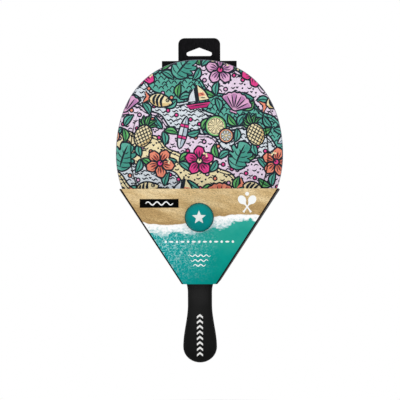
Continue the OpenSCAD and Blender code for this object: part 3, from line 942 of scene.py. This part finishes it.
# The back's free edge stands just inside the left side, and the flap ends in mitred corners
wrap.append((rows_along(back_crease) * mirror + (free_gap, 0, 0), back_out))
flap_root = turn_in[-1][0]
rise = -down * mirror
flap_tip = rows_along((flap_root[0] - rise * flap_w, flap_root[-1] + rise * flap_w)) + across * flap_w
turn_in.append((flap_tip, back_out))
# The front's side edges take the creases' first row, moved along it onto the straight ends
front_edge = wrap[0][0]
slip = rows_along((front_high[2] - front_edge[0][2], front_low[2] - front_edge[-1][2]))
front_edge -= down * (slip / math.cos(sleeve_lean))[:, None]
turn_in[0][0][:] = front_edge * mirror


def strip(columns, reverse):
    """One sheet from columns of points: vertices, normals and faces."""
    points, normals = (np.vstack(part) for part in zip(*columns))
    size = sleeve_rows + 1
    faces = [(i * size + k, i * size + k + 1, (i + 1) * size + k + 1, (i + 1) * size + k)
             for i in range(len(columns) - 1) for k in range(sleeve_rows)]
    return points, normals, [f[::-1] for f in faces] if reverse else faces


# The front's printed marks: a wave on a dark plate, two crossed paddles with a ball, a row of dots and three ripples
# The rim ink is a painted shadow round the ball's hole
MARKS = {"plate": srgb(1, 1, 1), "fold": srgb(26, 18, 19), "rim": srgb(28, 62, 64), "white": srgb(246, 248, 247),
         "sheet": (0.0, 0.0, 0.0, 0.0)}
art = []
plate_left, plate_right, plate_top, plate_low = -74.5, -25.7, -190.9, -201.9
ink([(plate_left, plate_top), (plate_left, plate_low), (plate_right, plate_low), (plate_right, plate_top)], "plate")
wave_left, wave_right, wave_level, wave_h, wave_count = -67, -33, -196.4, 2.0, 3
reach = np.linspace(wave_left, wave_right, 40)
wave_turn = (reach - wave_left) / (wave_right - wave_left) * 2 * wave_count * math.pi
stroke(np.column_stack((reach, wave_level + wave_h * np.sin(wave_turn))), 1.5, "white", tips=0.7)
cross_x, cross_level, cross_size, cross_turn = 60, -201, 11.5, 36
handle = np.array(((-0.24, 0.6), (-0.075, 0.28), (-0.075, -0.5), (-0.13, -0.72)))
for turn in (cross_turn, -cross_turn):
    at = placer(cross_x, cross_level, cross_size, turn)
    ink(at(oval(0, 0.95, 0.42, 0.5, 26)), "white")
    ink(at(np.vstack((handle, handle[::-1] * (-1, 1)))), "white")
ink(oval(cross_x, -184.6, 2.4), "white")
ripple_level, ripple_pitch, ripple_half_w, ripple_h = -262, 6, 14, 1.1
for k in range(3):
    reach = np.linspace(3 * k - ripple_half_w, ripple_half_w - 3 * k, 30)
    ripple = ripple_level - ripple_pitch * k + ripple_h * np.sin(reach * 0.9)
    stroke(np.column_stack((reach, ripple)), 1.3, "white", tips=0.3)
dot_level, dot_pitch, round_dot, long_dot = -244.5, 7.0, (1.5, 1.5), (2.6, 1.1)
for k in range(-6, 7):
    ink(oval(dot_pitch * k, dot_level, *(long_dot if k % 2 else round_dot), steps=14), "white")

front_flat = front_edge[:, (0, 2)]
hole = oval(0, ball_level, hole_r, steps=ball_steps)
border = np.vstack((front_flat[::-1], front_flat * (-1, 1)))
# The sides' black runs a little way round the creases, and a thin dark ring of painted shadow lies round the hole
hole_shadow_w = 0.2
for flip, fold_w in ((1, 1.4), (-1, 1.2)):
    ink(np.vstack((front_flat, front_flat[::-1] - (fold_w, 0))) * (flip, 1), "fold")
ink(oval(0, ball_level, hole_r + hole_shadow_w, steps=ball_steps), "rim")
panel, panel_faces, panel_inks = printed_partition(border, [joined(hole)], art, "sheet")
# The hole is cut out, and so are the slivers that the triangulation lays along the straight sides
sliver = 1e-3
corner, second, third = np.moveaxis(panel[panel_faces], 1, 0)
(x1, z1), (x2, z2) = (second - corner).T, (third - corner).T
kept = ~inside(panel[panel_faces].mean(1), hole) & (np.abs(x1 * z2 - z1 * x2) / 2 > sliver)
panel_faces, panel_inks = panel_faces[kept], panel_inks[kept]
panel_verts = np.column_stack((panel[:, 0], np.full(len(panel), front_low[1]), panel[:, 1]))
sheets = [(panel_verts, np.tile(front_out[0], (len(panel), 1)), panel_faces.tolist()),
          strip(wrap, False), strip(turn_in, True)]
outer, outer_normals = (np.vstack([sheet[part] for sheet in sheets]) for part in (0, 1))
first, back = weld(outer, 3)
outer_faces, base = [], 0
for verts, _, faces in sheets:
    outer_faces += [tuple(back[v + base] for v in f) for f in faces]
    base += len(verts)
outer, outer_normals = outer[first], outer_normals[first]
count = len(outer)
inner_faces = [tuple(v + count for v in f[::-1]) for f in outer_faces]
sides = {(f[i - 1], f[i]) for f in outer_faces for i in range(len(f))}
rim_faces = [(b, a, a + count, b + count) for a, b in sorted(sides) if (b, a) not in sides]
sleeve_verts = np.vstack((outer, outer - card_t * outer_normals))
sleeve_normals = np.vstack((outer_normals, -outer_normals))

coated_front, place = start_material("printed_card_front", Specular_IOR_Level=0.025)
x, _, z = axes(place)
# Height above the shoreline, which swings across the sheet and frays at a finer scale
shore_level, swing_h, fray_h = -216.9 * MM, 6.3 * MM, 7.0 * MM
swing = (x * 33.0 - 0.25).step("SINE") * swing_h
fray = noise(place, 70, 5.0) * fray_h - fray_h / 2
above = z - (swing + fray + shore_level)
# Sand: dry and pale above, wet and dark by the water, in low slanting drifts, with grains
wet_h, dry_h = 6 * MM, 46 * MM
slanted = mapped(place, Rotation=(0, math.radians(-14), 0))
drifts = noise(slanted, 1.0, 3.0, (15, 1, 62))
grains = noise(slanted, 1.0, 2.0, (360, 360, 900)) * 0.4 + noise(place, 1050) * 0.6
wet = (1.0 - above / wet_h).held()
sand = color_ramp(above / dry_h + (drifts * 3.2 - 1.6), (0.0, 180, 149, 101), (0.3, 196, 166, 116),
                  (0.6, 209, 181, 133), (1.0, 227, 203, 158))
sand = dimmed(blend_colors(wet * 0.3, sand, srgb(160, 122, 74)), grains * 2.6 - 0.3)
# Sea: deeper away from the shore, with pale glints between small waves that fade to the right and downwards
deep_h = 85 * MM
depth = above / -deep_h
sea = color_ramp(depth + (noise(place, 45, 4.0) * 0.7 - 0.35), (0.1, 52, 168, 154), (0.3, 38, 160, 144),
                 (0.55, 10, 150, 138), (0.85, 0, 133, 122))
warp = Field(add_node(place.tree, "TexNoise", {"Vector": place, "Scale": 150.0, "Detail": 3.0}), "Color")
warped = {0: warp, 1: (0.007, 0.007, 0.007), 2: place}
wavy = Field(add_node(place.tree, "VectorMath", warped, operation="MULTIPLY_ADD"))
net_place = {"Vector": mapped(wavy, Rotation=(0, math.radians(25), 0), Scale=(190, 1, 300)), "Scale": 1.0}
net = Field(add_node(place.tree, "TexVoronoi", net_place, feature="DISTANCE_TO_EDGE"), "Distance")
net_line = (1.5 - net / 0.07).held()
patchy = (noise(place, 190, 3.0) * 8.0 - 3.7).held()
leftness = (x * -16.0 + 0.45).held()
sparkle = leftness * (1.5 - depth * 1.6).held()
ripple = (noise(wavy, 1.0, 2.0, (460, 1, 540)) * 20.0 - 10.4).held()
for share, color in ((leftness * 0.85, (0, 149, 150)), (ripple * sparkle * 0.7, (136, 215, 216)),
                     (net_line * patchy * sparkle * 0.6, (214, 238, 238))):
    sea = blend_colors(share, sea, srgb(*color))
# Foam: solid at the shoreline, breaking into lace over the water, and thinner to the right
foam_h = 14 * MM
lace = noise(place, 1.0, 6.0, (130, 1, 230))
swash = noise(place, 38) * 1.2 - 0.33
thinner = (x * 5.0 - 0.05).held()
foam_mask = ((above / foam_h + (lace * 1.1 + (swash - thinner))) * 9.0 + 0.5).held()
bubbles = noise(place, 1.0, 4.0, (280, 1, 380)) * 1.6 - 0.3
froth = color_ramp(bubbles + (above * (0.6 / foam_h) + 0.3), (0.2, 168, 206, 208), (0.45, 226, 237, 237),
                   (0.65, 255, 255, 255))
on_land = (above / (1.2 * MM) + 0.5).held()
picture = blend_colors(on_land, blend_colors(foam_mask, sea, froth), sand)
marks = add_node(place.tree, "Attribute", attribute_name="print")
dress(coated_front, Base_Color=blend_colors(Field(marks, "Alpha"), picture, Field(marks, "Color")),
      Roughness=noise(place, 300, 3.0) * 0.12 + 0.36)

# Uncoated or ink-covered card: short fibres in the colour, the sheen and the surface, and thin slanting rub marks
CARD_CORE = srgb(104, 90, 78)
card_fibres, (place, dark, pale, mean_roughness) = start_group(
    "card_fibres", {"Vector": "Vector", "Dark": "Color", "Pale": "Color", "Mean Roughness": "Float"},
    {"Color": "Color", "Roughness": "Float", "Fibres": "Float"})
fibres = noise(place, 1.0, 4.0, (900, 900, 260))
cloud = noise(place, 70, 3.0)
rubs = (noise(mapped(place, Rotation=(0.5, 0.6, 0)), 1.0, 2.0, (620, 620, 11)) * 9.0 - 5.7).held()
mottle = (fibres * 2.2 + (cloud - 1.15)).held().step("MAXIMUM", rubs)
end_group(card_fibres, Color=blend_colors(mottle, dark, pale), Roughness=cloud * 0.2 + (mean_roughness - 0.1),
          Fibres=fibres)


def fold_distance(place):
    """How far a point of the sleeve is from the nearest fold or open end, in metres."""
    x, y, z = axes(place)
    run = back_crease[0] - back_crease[1]
    lean = run[0] / run[2]
    from_sides = z * lean + (back_high[0] - back_high[2] * lean) * MM - abs(x)
    # The sides' ends slope from the front's to the back's
    from_front = y - front_low[1] * MM
    share = from_front / ((back_high[1] - front_low[1]) * MM)
    top, bottom = (share * ((at_back - at_front) * MM) + at_front * MM
                   for at_front, at_back in zip((front_high[2], front_low[2]), (back_high[2], back_low[2])))
    from_faces = from_front.step("MINIMUM", y * -1.0 + back_high[1] * MM)
    from_ends = (z - bottom).step("MINIMUM", top - z)
    return from_sides.step("MAXIMUM", from_faces).step("MINIMUM", from_ends)


def card_stock(name, dark, pale, roughness, scuffed=0.0, cut_edges=False):
    """Card, whose core shows through where the ink is scuffed at the folds, and on edges cut through a flat sheet."""
    material, place = start_material(name, Specular_IOR_Level=0.06)
    coat = {"Vector": place, "Dark": srgb(*dark), "Pale": srgb(*pale), "Mean Roughness": roughness}
    stock = add_node(place.tree, "Group", coat, node_tree=card_fibres)
    face = Field(stock, "Color")
    if scuffed:
        scuffs = noise(place, 240, 4.0) * 6.0 + 6.0 * (scuffed - 0.8) - fold_distance(place) / (1.5 * MM)
        face = blend_colors(scuffs.held() * 0.7, face, CARD_CORE)
    if cut_edges:
        _, facing, _ = axes(Field(add_node(place.tree, "NewGeometry"), "True Normal"))
        face = blend_colors(abs(facing).step("LESS_THAN", 0.5) * 0.6, face, CARD_CORE)
    dress(material, (Field(stock, "Fibres"), 0.12, 0.1), Base_Color=face, Roughness=Field(stock, "Roughness"))
    return material


sleeve_stock = [
    coated_front,
    card_stock("black_card", (8, 5, 6), (37, 30, 31), 0.58, scuffed=0.3),
    card_stock("raw_card_inside", (150, 141, 128), (186, 178, 166), 0.85),
    card_stock("cut_card_edge", (92, 78, 66), (128, 112, 96), 0.9),
    card_stock("creased_black_card", (8, 5, 6), (37, 30, 31), 0.62, scuffed=0.26),
]
FRONT, BLACK, INSIDE, CUT, CREASED = range(5)
sleeve_faces = outer_faces + inner_faces + rim_faces
sleeve = add_piece("card_sleeve", sleeve_verts, sleeve_faces, sleeve_stock, "pack", [
    "sleeve_front_panel", "sleeve_left_side", "sleeve_right_side", "sleeve_back_panel", "sleeve_glue_flap"])
stock_used = [FRONT] * len(panel_faces)
for columns in (wrap, turn_in):
    for k in range(len(columns) - 1):
        stock_used += [BLACK if k % (crease_steps + 1) == crease_steps else CREASED] * sleeve_rows
stock_used += [INSIDE] * len(inner_faces) + [CUT] * len(rim_faces)
sleeve.data.polygons.foreach_set("material_index", stock_used)
bare = [MARKS["sheet"]] * (len(sleeve_faces) - len(panel_faces))
paint(sleeve.data, [MARKS[color] for color in panel_inks] + bare)
shade(sleeve.data, sleeve_normals, len(outer_faces) + len(inner_faces))

# Hang card
# A flat die-cut card with a tab and a peg slot, black on both faces, with its core along the cut edges.
# It is glued to the inside of the sleeve's back.
recoat("hang_card", card_stock("cut_black_card", (1, 1, 2), (21, 19, 22), 0.58, cut_edges=True))

# Studio
# A pale floor under the hanging pack, a white room and two soft lamps in front. The camera stands level, far off,
# where the picture was taken.
floor_level, floor_r, floor_sides = -0.47, 0.4, 96
floor_mesh = bpy.data.meshes.new("studio_floor")
floor_rim = [(*p, floor_level) for p in oval(0, 0, floor_r, steps=floor_sides)]
floor_mesh.from_pydata(floor_rim, [], [range(floor_sides)])
put("studio_floor", floor_mesh)
pale_floor, _ = start_material("pale_floor", Roughness=0.9, Base_Color=(0.86, 0.86, 0.86, 1))
floor_mesh.materials.append(pale_floor)

room_light = 0.76
world = bpy.data.worlds.new("white_room")
bpy.context.scene.world = world
world.use_nodes = True
room = world.node_tree.nodes["Background"]
rays = add_node(world.node_tree, "LightPath")
camera_ray, glossy_ray, clear_ray = (Field(rays, f"Is {kind} Ray") for kind in ("Camera", "Glossy", "Transmission"))
seen = camera_ray.step("MAXIMUM", glossy_ray.step("MAXIMUM", clear_ray))
world.node_tree.links.new((seen * (1.0 - room_light) + room_light).socket, room.inputs["Strength"])
room.inputs["Color"].default_value = (1, 1, 1, 1)

lamp_aim = Vector((0, -0.02, -0.2))


def soft_lamp(name, spot, size, power):
    lamp = bpy.data.lights.new(name, "AREA")
    lamp.shape, lamp.size, lamp.energy = "SQUARE", size, power
    holder = put(name, lamp)
    holder.location = spot
    holder.rotation_euler = (lamp_aim - holder.location).to_track_quat("-Z", "Y").to_euler()


soft_lamp("key_lamp", (-0.7, -1.7, 0.7), 0.9, 8.0)
soft_lamp("fill_lamp", (1.1, -1.6, 0.1), 0.9, 4.5)

view_turn = math.radians(1.1)
view_roll = math.radians(0.2)
view_distance = 4.0
frame_width = 0.504
look_at = Vector((0.0005, -0.0102, -0.1923))
camera_data = bpy.data.cameras.new("camera")
camera_data.sensor_width = 36.0
camera_data.lens = camera_data.sensor_width * view_distance / frame_width
camera_data.clip_end = 20.0
camera = put("camera", camera_data)
camera.location = look_at + Vector((math.sin(view_turn), -math.cos(view_turn), 0)) * view_distance
camera.rotation_euler = (math.radians(90), view_roll, view_turn)
bpy.context.scene.camera = camera
bpy.context.scene.view_settings.view_transform = "Standard"
